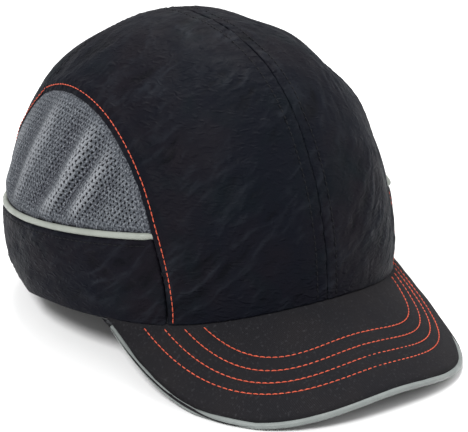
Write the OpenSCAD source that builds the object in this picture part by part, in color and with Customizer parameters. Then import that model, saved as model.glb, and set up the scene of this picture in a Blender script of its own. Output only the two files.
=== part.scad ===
// Bump cap: a fabric baseball-style cap over a vented protective shell.
// The wearer faces -Y, the wearer's right is -X, and the cap stands on Z = 0.

/* [Crown] */
// Half of the crown's outside width
half_w = 97.5; // [90:0.5:104]
// From the middle of the crown to its front
front_len = 117.5; // [108:0.5:126]
// From the middle of the crown to its back
back_len = 114; // [105:0.5:122]
// Height of the crown above the surface it stands on
crown_h = 153; // [140:1:165]
// Height at which the crown is widest
widest_z = 33; // [28:1:40]
// How far the sides draw in below the widest height, as a fraction
side_tuck = 0.28; // [0.1:0.02:0.34]
// How far the back draws in below the widest height, as a fraction
back_tuck = 0.06; // [0:0.02:0.14]
// Fullness of the crown's front, where 2 is an ellipse
front_full = 2.26; // [2:0.02:2.6]
// Fullness of the crown's sides
side_full = 2.13; // [2:0.01:2.4]
// Fullness of the crown's back
back_full = 2.08; // [2:0.01:2.4]

/* [Panels] */
// Distance of the coloured side seam from the centre line
seam_x = 67.4; // [60:0.1:74]
// Share by which the side seam bows outwards from the widest height up
seam_bow = 0.04; // [0:0.005:0.08]
// How far behind the middle the side seam reaches its top corner
apex_y = 34; // [26:0.5:44]
// How far behind the middle the cross seam passes over the top
cross_y = 26; // [18:1:34]
// Heading of the rear seam where it meets the lower edge, in degrees
rear_heading = 142; // [138:1:146]
// Height of the reflective side piping at the middle of the cap
piping_z = 60; // [54:1:66]
// Fall of the side piping towards the back, per millimetre
piping_fall = 0.12; // [0.06:0.02:0.16]
// Radius of the side piping
piping_r = 1.4; // [1.1:0.1:1.6]

/* [Rear opening] */
// Half of the width of the rear opening at its lower edge
arch_half_w = 44; // [38:1:48]
// Height of the rear opening
arch_h = 62; // [54:1:68]
// Width of the adjusting strap
strap_w = 20; // [16:1:24]

/* [Brim] */
// Half of the brim's width
brim_half_w = 85.5; // [80:0.5:90]
// How far the brim reaches in front of its corners
brim_len = 114; // [104:1:122]
// Distance of the brim's corners in front of the middle of the cap
brim_root = 54.5; // [50:0.5:60]
// Squareness of the brim's outline, where 2 is an ellipse
brim_square = 2.55; // [2.2:0.05:2.8]
// Fall of the brim towards the front, per millimetre
brim_fall = 0.485; // [0.4:0.005:0.56]
// Curve of the brim from side to side, in height per squared millimetre
brim_arch = 0.0054; // [0.004:0.0001:0.0065]

/* [Insert] */
// Thickness of the protective shell
shell_t = 2; // [1.6:0.1:3]
// Thickness of the foam pads
pad_t = 6; // [4:0.5:7]
// Height of the sweatband
sweatband_h = 32; // [28:1:36]

/* [Hidden] */

cloth_t = 0.8;
seam_gap = 0.3;
brim_heading = 62;
hem_falls = 50;
hem_down = 126;
brim_t = 3.2;
brim_gap = 0.15;
brim_piping_r = 1.6;
cover_t = 0.7;
thread_r = 0.45;
thread_lift = 0.85;
binding_r = 1.1;
shell_d = -2.2;
// Share of the way up the shell where its domed plate starts, and half the gap beside a wall plate
crown_share = 0.6;
plate_gap = 0.2;
pad_d = shell_d - shell_t - 0.6;
webbing_t = 1.2;
strap_z = 3;
strap_pivot_x = 37.5;
strap_end_x = -33;

// ---- helpers -------------------------------------------------------------

function sq(x) = x * x;
function lerp(a, b, t) = a + (b - a) * t;
function ease(t) = let (u = max(0, min(1, t))) u * u * (3 - 2 * u);
function steps(n) = [for (i = [0:n]) i / n];

// Root of a rising function between lo and hi
function solve(f, lo, hi, i = 22) =
    i == 0 ? (lo + hi) / 2
    : let (m = (lo + hi) / 2) f(m) > 0 ? solve(f, lo, m, i - 1) : solve(f, m, hi, i - 1);

// Closed solid between two grids of points. i runs with the heading, j runs up.
// keep says which cells are solid, and poles are the two points that close a dome's top.
module slab(outer, inner, closed = false, keep = function (i, j) true, poles = []) {
    nj = len(outer);
    ni = len(outer[0]);
    cells_i = closed ? ni : ni - 1;
    function id(side, i, j) = (side * nj + j) * ni + i % ni;
    domed = len(poles) > 0;
    function there(i, j) =
        j >= 0 && (j < nj - 1 || domed) && (j == nj - 1 || keep((i + cells_i) % cells_i, j))
        && (closed || (i >= 0 && i < cells_i));
    function quad(a, b, c, d) = [[a, b, c], [a, c, d]];
    function wall(a, b, c, d) =
        quad(id(0, a, b), id(0, c, d), id(1, c, d), id(1, a, b));
    faces = [
        for (j = [0:nj - 2], i = [0:cells_i - 1]) if (there(i, j))
            each concat(
                quad(id(0, i, j), id(0, i, j + 1), id(0, i + 1, j + 1), id(0, i + 1, j)),
                quad(id(1, i, j), id(1, i + 1, j), id(1, i + 1, j + 1), id(1, i, j + 1)),
                there(i - 1, j) ? [] : wall(i, j + 1, i, j),
                there(i + 1, j) ? [] : wall(i + 1, j, i + 1, j + 1),
                there(i, j - 1) ? [] : wall(i, j, i + 1, j),
                there(i, j + 1) ? [] : wall(i + 1, j + 1, i, j + 1))
    ];
    last = 2 * nj * ni;
    fans = !domed ? [] : [
        for (i = [0:ni - 1], side = [0, 1])
            let (a = id(side, i, nj - 1), b = id(side, i + 1, nj - 1))
            side == 0 ? [a, last, b] : [b, last + 1, a]
    ];
    polyhedron(
        [for (row = outer) each row, for (row = inner) each row, each poles],
        concat(faces, fans));
}

// Round tube along a path. out(p) points away from the cap at p.
module tube(path, r, sides = 8, out = function (p) p - [0, 0, widest_z]) {
    n = len(path);
    rings = [
        for (k = [0:n - 1])
            let (t = path[min(k + 1, n - 1)] - path[max(k - 1, 0)],
                 a = cross(t, out(path[k])), side = a / norm(a),
                 b = cross(side, t), up = b / norm(b))
            [for (s = [0:sides - 1])
                let (angle = 360 * (s + 0.5) / sides)
                path[k] + r * (cos(angle) * side + sin(angle) * up)]
    ];
    walls = [
        for (k = [0:n - 2], s = [0:sides - 1])
            let (a = k * sides + s, b = k * sides + (s + 1) % sides)
            each [[a, b, b + sides], [a, b + sides, a + sides]]
    ];
    polyhedron(
        [for (ring = rings) each ring],
        concat(walls, [[for (s = [sides - 1:-1:0]) s]],
            [[for (s = [0:sides - 1]) (n - 1) * sides + s]]));
}

module on_left() mirror([1, 0, 0]) children();

// ---- the crown's surface ---------------------------------------------------
// A heading is 0 at the front, 90 at the wearer's left and 180 at the back.
// d is a distance outside the crown's outer face, so layers inside it have d < 0.

function reach(y, d) = (y < 0 ? front_len : back_len) + d;
function fullness(s, c) = (c > 0 ? front_full : back_full) * c * c + side_full * s * s;
function tuck(s, c) = (back_tuck + side_tuck * s * s) * (1 - c) / 2;
function tucked(s, c, z) = 1 - tuck(s, c) * sq(max(0, widest_z - z) / widest_z);

// Size of the crown that passes through p, as a share of the crown at d
function swell(p, d = 0) =
    let (q = [p[0] / (half_w + d), -p[1] / reach(p[1], d)], r = max(norm(q), 1e-6),
         s = q[0] / r, c = q[1] / r, n = fullness(s, c),
         up = (p[2] - widest_z) / (crown_h + d - widest_z))
    up > 0 ? pow(pow(r, n) + pow(up, n), 1 / n) : r / tucked(s, c, p[2]);

// The point of the crown's surface that lies out from p
function onto(p, d = 0) =
    let (k = swell(p, d), z = p[2] - widest_z)
    [p[0] / k, p[1] / k, z > 0 ? widest_z + z / k : p[2]];
function onto_all(grid, d) = [for (row = grid) [for (p = row) onto(p, d)]];

function at_height(h, z, d = 0) =
    let (s = sin(h), c = cos(h), n = fullness(s, c),
         up = min(1, (z - widest_z) / (crown_h + d - widest_z)),
         r = up > 0 ? pow(1 - pow(up, n), 1 / n) : tucked(s, c, z))
    [(half_w + d) * s * r, -reach(-c, d) * c * r, z];

// Where an upright plane at x, bowed out near the top, meets the surface at angle a
function at_plane(x, a, d = 0) =
    let (p = function (r)
             [x * (1 + seam_bow * ease(r * sin(a) / 50)), -r * cos(a), widest_z + r * sin(a)],
         r = solve(function (r) swell(p(r), d) - 1, 0, 200))
    p(r);

// Grid that fills four edges: low and high run with the heading, first and last run up
function patch(low, high, first, last) =
    let (ni = len(low) - 1, nj = len(first) - 1)
    [for (j = [0:nj]) [for (i = [0:ni])
        let (u = i / ni, v = j / nj)
        (1 - v) * low[i] + v * high[i] + (1 - u) * first[j] + u * last[j]
        - (1 - v) * lerp(low[0], low[ni], u) - v * lerp(high[0], high[ni], u)]];

// ---- edges and seams -------------------------------------------------------

function brim_sag(x, y) = brim_fall * (y + front_len) - brim_arch * x * x;
function brim_plan(t, d = 0, square = brim_square, wide = 0) =
    [(brim_half_w - d + wide) * sign(t) * pow(abs(sin(t)), 2 / square),
     -brim_root - (brim_len - d) * pow(cos(t), 2 / square)];
// Height of the middle of the brim, so that its piping just touches Z = 0
brim_low = min([for (t = [0:2:90]) let (p = brim_plan(t, brim_piping_r)) brim_sag(p[0], p[1])]);
brim_z = brim_piping_r - brim_low;
function brim_mid(x, y) = brim_z + brim_sag(x, y);

// Lower edge of the crown: on the brim at the front, falling along the sides to Z = 0 at the back
function rim_z(h) =
    let (on_brim = ease((cos(h) - cos(hem_down)) / (cos(hem_falls) - cos(hem_down))))
    (brim_mid(half_w * sin(h), -front_len * cos(h)) + brim_t / 2 + 0.6) * on_brim;
function rim(h, up = 0, d = 0) = at_height(h, rim_z(h) + up, d);

function side_line(h, up = 0, d = 0) =
    at_height(h, solve(function (z) z - piping_z - up + piping_fall * at_height(h, z)[1], 0, 120), d);

// Front seam of the mesh, in the plane at x
function seam_foot(x) =
    solve(function (a) let (p = at_plane(x, a)) p[2] - rim_z(asin(p[0] / half_w)), -20, 60);
function seam_at_y(x, y) = solve(function (a) at_plane(x, a)[1] - y, 20, 170);
function seam_at_line(x) =
    solve(function (a) let (p = at_plane(x, a)) p[2] - piping_z + piping_fall * p[1], -10, 80);
function front_seam(x, a0, a1, n, d = 0) = [for (t = steps(n)) at_plane(x, lerp(a0, a1, t), d)];

apex = at_plane(-seam_x, seam_at_y(-seam_x, apex_y));
apex_heading = atan2(apex[0] / half_w, -apex[1] / back_len);

// Rear seam of the mesh, from the lower edge up to the apex; turn moves it round the cap
function rear_seam(z, turn = 0, d = 0) =
    at_height(lerp(-rear_heading, apex_heading, sq(z / apex[2])) + turn, z, d);
rear_line_z = solve(function (z) z - piping_z + piping_fall * rear_seam(z)[1], 20, 100);

function cross_seam(t, y_shift = 0) =
    onto(lerp(apex, [0, cross_y, crown_h], t) + [0, y_shift, 0]);

function arch(g, grow = 0) =
    let (z = (arch_h + grow) * cos(g), x = -(arch_half_w + grow) * sin(g))
    at_height(solve(function (h) -at_height(h, z)[0] + x, -180, -120), z);

// ---- crown fabric ----------------------------------------------------------

module cloth(grid, d = 0, t = cloth_t) slab(onto_all(grid, d), onto_all(grid, d - t));

module half_front() {
    x = -seam_x + seam_gap;
    foot = seam_foot(x);
    side = front_seam(x, foot, seam_at_y(x, apex_y - seam_gap), 16);
    h0 = atan2(side[0][0] / half_w, -side[0][1] / front_len);
    top = [for (t = steps(11)) lerp(side[16], onto([-seam_gap, cross_y - seam_gap, crown_h]), t)];
    middle_foot = rim(-asin(seam_gap / half_w));
    a0 = atan2(middle_foot[2] - widest_z, -middle_foot[1]);
    middle = front_seam(-seam_gap, a0, seam_at_y(-seam_gap, cross_y - seam_gap), 16);
    low = [for (t = steps(11)) rim(lerp(h0, -asin(seam_gap / half_w), t))];
    cloth(patch(low, top, side, middle));
}

module half_rear() {
    turn = -0.25;
    side_z = [for (t = steps(14)) lerp(0, apex[2], t)];
    side = [for (z = side_z) rear_seam(z, turn)];
    top_y = cross_y + seam_gap;
    top_z = arch_h + binding_r + 0.4;
    middle = front_seam(-seam_gap, solve(function (a) top_z - at_plane(-seam_gap, a)[2], 100, 179),
        seam_at_y(-seam_gap, top_y), 14);
    edge = concat([for (g = [0:15:90]) arch(g, binding_r + 0.4)],
        [for (t = [0.35, 0.7]) lerp(arch(90, binding_r + 0.4), side[0], t)], [side[0]]);
    low = concat([middle[0]], [for (i = [1:len(edge) - 1]) edge[i]]);
    top = [for (t = steps(len(low) - 1)) lerp(middle[14], side[14], t)];
    cloth(patch(low, top, middle, side));
}

module half_mesh() {
    x = -seam_x - seam_gap;
    lift = piping_r + 0.3;
    turn = 0.25;
    z0 = solve(function (z) z - piping_z - lift + piping_fall * rear_seam(z)[1], 20, 100);
    rear = [for (t = steps(12)) rear_seam(lerp(z0, apex[2] - 3, t), turn)];
    a0 = solve(function (a) let (p = at_plane(x, a)) p[2] - piping_z - lift + piping_fall * p[1], -10, 80);
    front = front_seam(x, a0, seam_at_y(x, apex_y - 3), 12);
    h0 = atan2(rear[0][0] / half_w, -rear[0][1] / back_len);
    h1 = atan2(front[0][0] / half_w, -front[0][1] / front_len);
    low = [for (t = steps(12)) side_line(lerp(h0, h1, t), lift)];
    top = [for (t = steps(12)) lerp(rear[12], front[12], t)];
    cloth(patch(low, top, rear, front));
}

module half_band() {
    x = -seam_x - seam_gap;
    drop = -piping_r - 0.3;
    turn = 0.25;
    z1 = solve(function (z) z - piping_z - drop + piping_fall * rear_seam(z)[1], 20, 100);
    rear = [for (t = steps(5)) rear_seam(lerp(0, z1, t), turn)];
    a1 = solve(function (a) let (p = at_plane(x, a)) p[2] - piping_z - drop + piping_fall * p[1], -10, 80);
    front = front_seam(x, seam_foot(x), a1, 5);
    h = function (p) atan2(p[0] / half_w, -p[1] / reach(p[1], 0));
    low = concat([rear[0]], [for (i = [1:17]) rim(lerp(h(rear[0]), h(front[0]), i / 18))], [front[0]]);
    top = [for (t = steps(18)) side_line(lerp(h(rear[5]), h(front[5]), t), drop)];
    cloth(patch(low, top, rear, front));
}

module front_panel_right() color("#1d222b") half_front();
module front_panel_left() color("#1d222b") on_left() half_front();
module rear_panel_right() color("#1b2029") half_rear();
module rear_panel_left() color("#1b2029") on_left() half_rear();
module mesh_panel_right() color("#6c7078") half_mesh();
module mesh_panel_left() color("#6c7078") on_left() half_mesh();
module side_band_right() color("#1a1f28") half_band();
module side_band_left() color("#1a1f28") on_left() half_band();

// ---- piping, threads and tapes ---------------------------------------------

function line_path(h0, h1, n, up, d) = [for (t = steps(n)) side_line(lerp(h0, h1, t), up, d)];
line_front = let (p = at_plane(-seam_x, seam_at_line(-seam_x))) -atan2(-p[0] / half_w, -p[1] / front_len);
line_rear = let (p = rear_seam(rear_line_z)) atan2(p[0] / half_w, -p[1] / back_len);

module half_piping() tube(line_path(line_rear + 1, line_front - 1.2, 24, 0, -0.3), piping_r, 6);
module half_topstitch()
    tube(line_path(line_rear + 2, line_front - 3, 24, -piping_r - 3.2, thread_lift), thread_r, 4);

module side_piping_right() color("#9aa39b") half_piping();
module side_piping_left() color("#9aa39b") on_left() half_piping();
module band_topstitch_right() color("#0c0e12") half_topstitch();
module band_topstitch_left() color("#0c0e12") on_left() half_topstitch();

// Coloured thread: up beside the front seam, round the apex and down beside the rear seam
module half_seam_thread() {
    inset = 2;
    x = -seam_x + inset;
    up = front_seam(x, seam_foot(x) + 0.6, seam_at_y(x, apex_y - 1), 26, thread_lift);
    down = [for (t = steps(16)) rear_seam(lerp(apex[2] + 1, 2, t), -1.2, thread_lift)];
    tube(concat(up, down), thread_r, 4);
}
module side_seam_thread_right() color("#d8563a") half_seam_thread();
module side_seam_thread_left() color("#d8563a") on_left() half_seam_thread();

module centre_row(x) {
    foot = rim(asin(x / half_w), 1);
    a0 = atan2(foot[2] - widest_z, -foot[1]);
    front = front_seam(x, a0, seam_at_y(x, cross_y - 4), 22, thread_lift);
    back = front_seam(x, seam_at_y(x, cross_y + 4),
        solve(function (a) -at_plane(x, a)[2] + arch_h + 4, 100, 179), 12, thread_lift);
    tube(front, thread_r, 4);
    tube(back, thread_r, 4);
}
module centre_seam_thread() color("#0c0e12") {
    centre_row(-5.5);
    centre_row(5.5);
}

module cross_row(shift) {
    path = [for (t = steps(10)) onto(cross_seam(lerp(0.12, 0.9, t), shift), thread_lift)];
    tube(path, thread_r, 4);
    on_left() tube(path, thread_r, 4);
}
module cross_seam_thread() color("#0c0e12") {
    cross_row(-3);
    cross_row(3);
}

tape_w = 6;
tape_d = -1.0;
tape_t = 0.5;
module seam_tape_centre() color("#2b2f37") {
    rows = [for (t = steps(20)) let (a = lerp(16, seam_at_y(0, cross_y - tape_w - 1), t))
        [for (x = [-tape_w, tape_w]) at_plane(x, a)]];
    cloth(rows, tape_d, tape_t);
    back = [for (t = steps(12)) let (a = lerp(158, seam_at_y(0, cross_y + tape_w + 1), t))
        [for (x = [tape_w, -tape_w]) at_plane(x, a)]];
    cloth(back, tape_d, tape_t);
}
module seam_tape_cross() color("#2b2f37") {
    line = concat([for (t = steps(9)) cross_seam(lerp(0.12, 1, t))],
        [for (t = steps(9)) if (t > 0) let (p = cross_seam(lerp(1, 0.12, t))) [-p[0], p[1], p[2]]]);
    cloth([for (shift = [-tape_w, tape_w]) [for (p = line) onto(p + [0, shift, 0])]], tape_d, tape_t);
}

// ---- brim --------------------------------------------------------------

// Rings of the brim from its root against the crown out to its edge less inset
function brim_grid(inset, up, nu = 24, nv = 5) =
    [for (j = [0:nv]) [for (i = [0:nu])
        let (t = lerp(-86, 86, i / nu), h = lerp(-brim_heading, brim_heading, i / nu) * 0.97,
             root = at_height(h, max(rim_z(h), widest_z), brim_gap), edge = brim_plan(t, inset),
             p = lerp([edge[0], edge[1]], [root[0], root[1]], j / nv))
        [p[0], p[1], brim_mid(p[0], p[1]) + up]]];

module brim_layer(inset, top, t) slab(brim_grid(inset, top), brim_grid(inset, top - t));
module brim_board() color("#33363b") brim_layer(4.2, brim_t / 2 - cover_t - 0.1, brim_t - 2 * cover_t - 0.2);
module brim_top_cover() color("#24272d") brim_layer(3.6, brim_t / 2, cover_t);
module brim_under_cover() color("#202329") brim_layer(3.6, cover_t - brim_t / 2, cover_t);

function brim_line(inset, up, square, t1, n, wide = 0) =
    [for (s = steps(n)) let (p = brim_plan(lerp(-t1, t1, s), inset, square, wide))
        [p[0], p[1], brim_mid(p[0], p[1]) + up]];
module brim_piping() color("#8d9294")
    tube(brim_line(brim_piping_r, 0, brim_square, 87.5, 50), brim_piping_r, 6, function (p) [0, 0, 1]);

row_insets = [13.5, 19.3, 25.2, 31.3];
// The rows run this much nearer the brim's edge at the sides than at the front
row_wide = 3.5;
module brim_thread_rows() color("#d8563a")
    for (k = [0:3])
        tube(brim_line(row_insets[k], brim_t / 2 + 0.75, 2.6 + 0.22 * k, 62 - 6 * k, 30, row_wide),
            thread_r, 4, function (p) [0, 0, 1]);

// ---- sweatband and rear opening ---------------------------------------------

sweatband_heading = 140;
// The band leans in from the lower edge so that the shell's edge fits outside it
function sweatband_d(v) = -1.3 - 4.9 * ease(v * 4);
module sweatband() color("#15171b") {
    band = function (t) [for (v = [0, 0.1, 0.2, 0.3, 1]) [for (u = steps(44))
        let (h = lerp(-sweatband_heading, sweatband_heading, u))
        rim(h, 1.2 + v * sweatband_h, sweatband_d(v) - t)]];
    slab(band(0), band(2));
}

module opening_binding() color("#14171c") {
    half = [for (g = [87:-7:3]) onto(arch(g), -cloth_t / 2)];
    path = concat(half, [for (i = [len(half) - 1:-1:0]) [-half[i][0], half[i][1], half[i][2]]]);
    tube(path, binding_r, 6);
}

// Point of a strap that runs round the back: x across, v from its lower to its upper edge
function strap_point(x, v, d) =
    let (h = -180 - asin(x / half_w / 0.97))
    lerp(at_height(h, strap_z, d), at_height(h, strap_z + strap_w, d), v);
module strap(x0, x1, d, t, n = 10, margin = 0) {
    rows = function (extra) [for (v = [margin, 1 - margin]) [for (s = steps(n))
        let (x = lerp(x1, x0, s)) strap_point(x, v, d(x) + extra)]];
    slab(rows(0), rows(-t));
}

under_d = -1.8;
loop_pad_d = -0.6;
pad_margin = 0.05;
hook_pad_d = 1.1;
hook_strap_d = hook_pad_d + webbing_t + 0.1;
function hook_d(x) = lerp(under_d, hook_strap_d, ease((strap_pivot_x - 1 - x) / 9));

module strap_anchor() color("#191c21") strap(strap_pivot_x + 0.9, 57, function (x) under_d, webbing_t, 5);
module hook_strap() color("#1b1e24")
    strap(strap_end_x, strap_pivot_x - 0.9, function (x) hook_d(x), webbing_t, 24);
module hook_pad() color("#101216")
    strap(strap_end_x + 2, 8, function (x) hook_pad_d, 1.1, 13, pad_margin);
module loop_strap() color("#1b1e24") strap(-57, 16, function (x) under_d, webbing_t, 18);
module loop_pad() color("#121418")
    strap(-34, 14, function (x) loop_pad_d, 1.1, 13, pad_margin);

module strap_thread() color("#0c0e12")
    for (x0 = [-51.2, 47.2], v = [0.15, 0.85])
        tube([for (s = steps(3)) strap_point(lerp(x0 + 4, x0, s), v, thread_lift + 0.3)], 0.35, 4);

// ---- protective insert --------------------------------------------------

function shell_rim_z(h) =
    40 + 15 * ease((cos(h) - 0.3) / 0.5) + 30 * ease((-cos(h) - 0.55) / 0.35);
// Point of the shell at a heading, at a share of the way from its rim to the top
function shell_at(h, share, d) =
    let (foot = at_height(h, shell_rim_z(h), d), reach = norm([foot[0], foot[1]]),
         e = lerp(atan2(foot[2] - widest_z, reach), 86, share))
    onto([foot[0] / reach * cos(e) * 100, foot[1] / reach * cos(e) * 100, widest_z + sin(e) * 100], d);

// One of the plates round the wall, with or without a row of slots
module wall_plate(h0, h1, n, slotted) {
    rows = function (d) [for (v = steps(6)) [for (u = steps(n))
        shell_at(lerp(h0 + plate_gap, h1 - plate_gap, u), v * (crown_share - 0.004), d)]];
    slab(rows(shell_d), rows(shell_d - shell_t), false,
        function (i, j) !slotted || j < 3 || j > 4 || i % 3 != 1);
}
module bump_shell_front() color("#23262b") wall_plate(-50, 50, 12, true);
module bump_shell_rear() color("#23262b") wall_plate(130, 230, 12, true);
module bump_shell_left() color("#23262b") wall_plate(50, 130, 9, false);
module bump_shell_right() color("#23262b") wall_plate(230, 310, 9, false);
// The domed plate at the top, with a ring of slots
module bump_shell_crown() color("#23262b") {
    n = 40;
    rows = function (d) [for (v = steps(4)) [for (i = [0:n - 1])
        shell_at(360 * i / n, lerp(crown_share + 0.004, 1, v), d)]];
    slab(rows(shell_d), rows(shell_d - shell_t), true, function (i, j) j != 1 || i % 4 != 0,
        [for (d = [shell_d, shell_d - shell_t]) onto([0, -0.001, crown_h], d)]);
}

module shell_edge_trim() color("#17191d") {
    n = 44;
    sides = 6;
    ring = function (i, s)
        let (h = 360 * i / n, a = 360 * s / sides)
        at_height(h, shell_rim_z(h) - 1.75 + 1.3 * sin(a), shell_d - shell_t / 2 + 1.8 * cos(a));
    polyhedron(
        [for (i = [0:n - 1], s = [0:sides - 1]) ring(i, s)],
        [for (i = [0:n - 1], s = [0:sides - 1])
            let (a = i * sides + s, next = (s + 1) % sides, c = (i + 1) % n * sides)
            each [[a, i * sides + next, c + next], [a, c + next, c + s]]]);
}

// ---- foam pads -------------------------------------------------------------

// Pad over a range of headings and heights, thinner at its edges
module wall_pad(h0, h1, z0, z1, nu = 12, nv = 5) {
    rows = function (inner) [for (v = steps(nv)) [for (u = steps(nu))
        let (edge = ease(min(u, 1 - u) * nu / 2.2) * ease(min(v, 1 - v) * nv / 1.4))
        at_height(lerp(h0, h1, u), lerp(z0, z1, v), pad_d - inner * lerp(1.2, pad_t, edge))]];
    slab(rows(0), rows(1));
}

module crown_pad() color("#2e3138") {
    n = 10;
    rows = function (inner) [for (j = [0:n]) [for (i = [0:n])
        let (u = 2 * i / n - 1, v = 2 * j / n - 1,
             x = 46 * u * sqrt(1 - v * v / 2), y = 52 * v * sqrt(1 - u * u / 2) - 4,
             edge = ease((1 - max(abs(u), abs(v))) * n / 4))
        onto([x, y, crown_h], pad_d - inner * lerp(1.2, pad_t, edge))]];
    slab(rows(0), rows(1));
}
module front_pad() color("#2e3138") wall_pad(-38, 38, 76, 106, 14);
module rear_pad() color("#2e3138") wall_pad(146, 214, 80, 108, 12);
module side_pad_left() color("#2e3138") wall_pad(72, 116, 65, 98, 10);
module side_pad_right() color("#2e3138") on_left() wall_pad(72, 116, 65, 98, 10);

front_panel_right();
front_panel_left();
rear_panel_right();
rear_panel_left();
mesh_panel_right();
mesh_panel_left();
side_band_right();
side_band_left();
side_piping_right();
side_piping_left();
side_seam_thread_right();
side_seam_thread_left();
centre_seam_thread();
cross_seam_thread();
band_topstitch_right();
band_topstitch_left();
seam_tape_centre();
seam_tape_cross();
brim_board();
brim_top_cover();
brim_under_cover();
brim_piping();
brim_thread_rows();
sweatband();
opening_binding();
strap_anchor();
hook_strap();
hook_pad();
loop_strap();
loop_pad();
strap_thread();
bump_shell_crown();
bump_shell_front();
bump_shell_rear();
bump_shell_right();
bump_shell_left();
shell_edge_trim();
crown_pad();
front_pad();
rear_pad();
side_pad_right();
side_pad_left();
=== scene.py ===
"""Looks of the bump cap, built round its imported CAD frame.

The crown's surface, its seams and the brim follow the same formulas as the CAD part, so each
cloth piece lies where its CAD node lies. Shape functions work in millimetres; meshes are in metres.
"""
import math

import bmesh
import bpy
import numpy as np
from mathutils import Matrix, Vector, kdtree, noise


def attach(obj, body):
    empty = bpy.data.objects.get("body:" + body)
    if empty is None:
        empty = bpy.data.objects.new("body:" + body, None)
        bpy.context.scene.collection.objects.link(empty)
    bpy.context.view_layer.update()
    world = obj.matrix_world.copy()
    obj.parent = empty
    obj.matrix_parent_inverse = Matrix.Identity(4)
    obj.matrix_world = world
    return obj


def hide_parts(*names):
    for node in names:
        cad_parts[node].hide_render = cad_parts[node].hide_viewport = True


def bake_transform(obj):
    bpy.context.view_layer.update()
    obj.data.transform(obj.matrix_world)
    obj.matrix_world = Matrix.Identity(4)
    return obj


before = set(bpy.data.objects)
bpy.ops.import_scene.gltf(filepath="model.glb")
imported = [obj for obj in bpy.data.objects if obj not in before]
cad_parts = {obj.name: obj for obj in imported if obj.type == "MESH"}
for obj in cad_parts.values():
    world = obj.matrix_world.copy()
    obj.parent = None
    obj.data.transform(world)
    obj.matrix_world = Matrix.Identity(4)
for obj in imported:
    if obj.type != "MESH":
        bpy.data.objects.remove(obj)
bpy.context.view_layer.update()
MM = 0.001

# ---- driving sizes, in millimetres and degrees ----

HALF_W, FRONT_LEN, BACK_LEN, CROWN_H, WIDEST_Z = 97.5, 117.5, 114.0, 153.0, 33.0
SIDE_TUCK, BACK_TUCK = 0.28, 0.06
FRONT_FULL, SIDE_FULL, BACK_FULL = 2.26, 2.13, 2.08
SEAM_X, SEAM_BOW, APEX_Y, CROSS_Y, REAR_HEADING = 67.4, 0.04, 34.0, 26.0, 142.0
PIPING_Z, PIPING_FALL, PIPING_R = 60.0, 0.12, 1.55
ARCH_HALF_W, ARCH_H, STRAP_W, STRAP_Z = 44.0, 62.0, 20.0, 3.0
BRIM_HALF_W, BRIM_LEN, BRIM_ROOT, BRIM_SQUARE = 85.5, 114.0, 54.5, 2.55
BRIM_FALL, BRIM_ARCH, BRIM_T, BRIM_PIPING_R = 0.485, 0.0054, 3.2, 1.6
BRIM_HEADING, HEM_FALLS, HEM_DOWN = 62.0, 50.0, 126.0
SHELL_D, SHELL_T, PAD_T, PAD_EDGE_T = -2.2, 2.0, 6.0, 1.1
PAD_D = SHELL_D - SHELL_T - 0.6
SWEATBAND_H, SWEATBAND_HEADING = 32.0, 140.0
CLOTH_T = 0.8
PITCH_ALONG, PITCH_UP = 2.35, 2.15
SIDE_R, MESH_UNDER = 98.0, 1.4
STRAP_PIVOT_X = 37.5
STITCH, STITCH_GAP, STITCH_R, SETTLE_REACH = 2.6, 0.25, 0.26, 4.0

# ---- the crown's surface ----
# A heading is 0 at the front, 90 at the wearer's left and 180 at the back.
# d is a distance outside the crown's face, so the layers inside it have d < 0.


def ease(t):
    t = np.clip(t, 0, 1)
    return t * t * (3 - 2 * t)


def lerp(a, b, t):
    return a + (b - a) * t


def steps(n):
    return np.linspace(0, 1, n + 1)


def bell(x, centre, width):
    return np.exp(-(((x - centre) / width) ** 2))


def unit(v):
    return v / np.linalg.norm(v, axis=-1, keepdims=True)


def solve(f, lo, hi, rounds=26):
    """Root of a rising function; lo and hi may be arrays."""
    lo, hi = np.asarray(lo, float), np.asarray(hi, float)
    for _ in range(rounds):
        mid = (lo + hi) / 2
        high = f(mid) > 0
        lo, hi = np.where(high, lo, mid), np.where(high, mid, hi)
    return (lo + hi) / 2


def fullness(s, c):
    return np.where(c > 0, FRONT_FULL, BACK_FULL) * c * c + SIDE_FULL * s * s


def tucked(s, c, z):
    tuck = (BACK_TUCK + SIDE_TUCK * s * s) * (1 - c) / 2
    return 1 - tuck * (np.clip(WIDEST_Z - z, 0, None) / WIDEST_Z) ** 2


def swell(p, d=0.0):
    """Size of the crown that passes through p, as a share of the crown at d."""
    x, y, z = p[..., 0], p[..., 1], p[..., 2]
    reach = np.where(y < 0, FRONT_LEN, BACK_LEN) + d
    qx, qy = x / (HALF_W + d), -y / reach
    r = np.maximum(np.hypot(qx, qy), 1e-6)
    s, c = qx / r, qy / r
    n = fullness(s, c)
    up = np.clip((z - WIDEST_Z) / (CROWN_H + d - WIDEST_Z), 0, None)
    return np.where(up > 0, (r**n + up**n) ** (1 / n), r / tucked(s, c, z))


def onto(p, d=0.0):
    """The point of the crown's surface that lies out from p."""
    p = np.asarray(p, float)
    k = swell(p, d)
    z = p[..., 2] - WIDEST_Z
    return np.stack([p[..., 0] / k, p[..., 1] / k, np.where(z > 0, WIDEST_Z + z / k, p[..., 2])], -1)


def at_height(h, z, d=0.0):
    h, z = np.broadcast_arrays(np.radians(h), np.asarray(z, float))
    s, c = np.sin(h), np.cos(h)
    n = fullness(s, c)
    up = np.clip((z - WIDEST_Z) / (CROWN_H + d - WIDEST_Z), 0, 1)
    r = np.where(up > 0, (1 - up**n) ** (1 / n), tucked(s, c, z))
    reach = np.where(c > 0, FRONT_LEN, BACK_LEN) + d
    return np.stack([(HALF_W + d) * s * r, -reach * c * r, z], -1)


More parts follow.
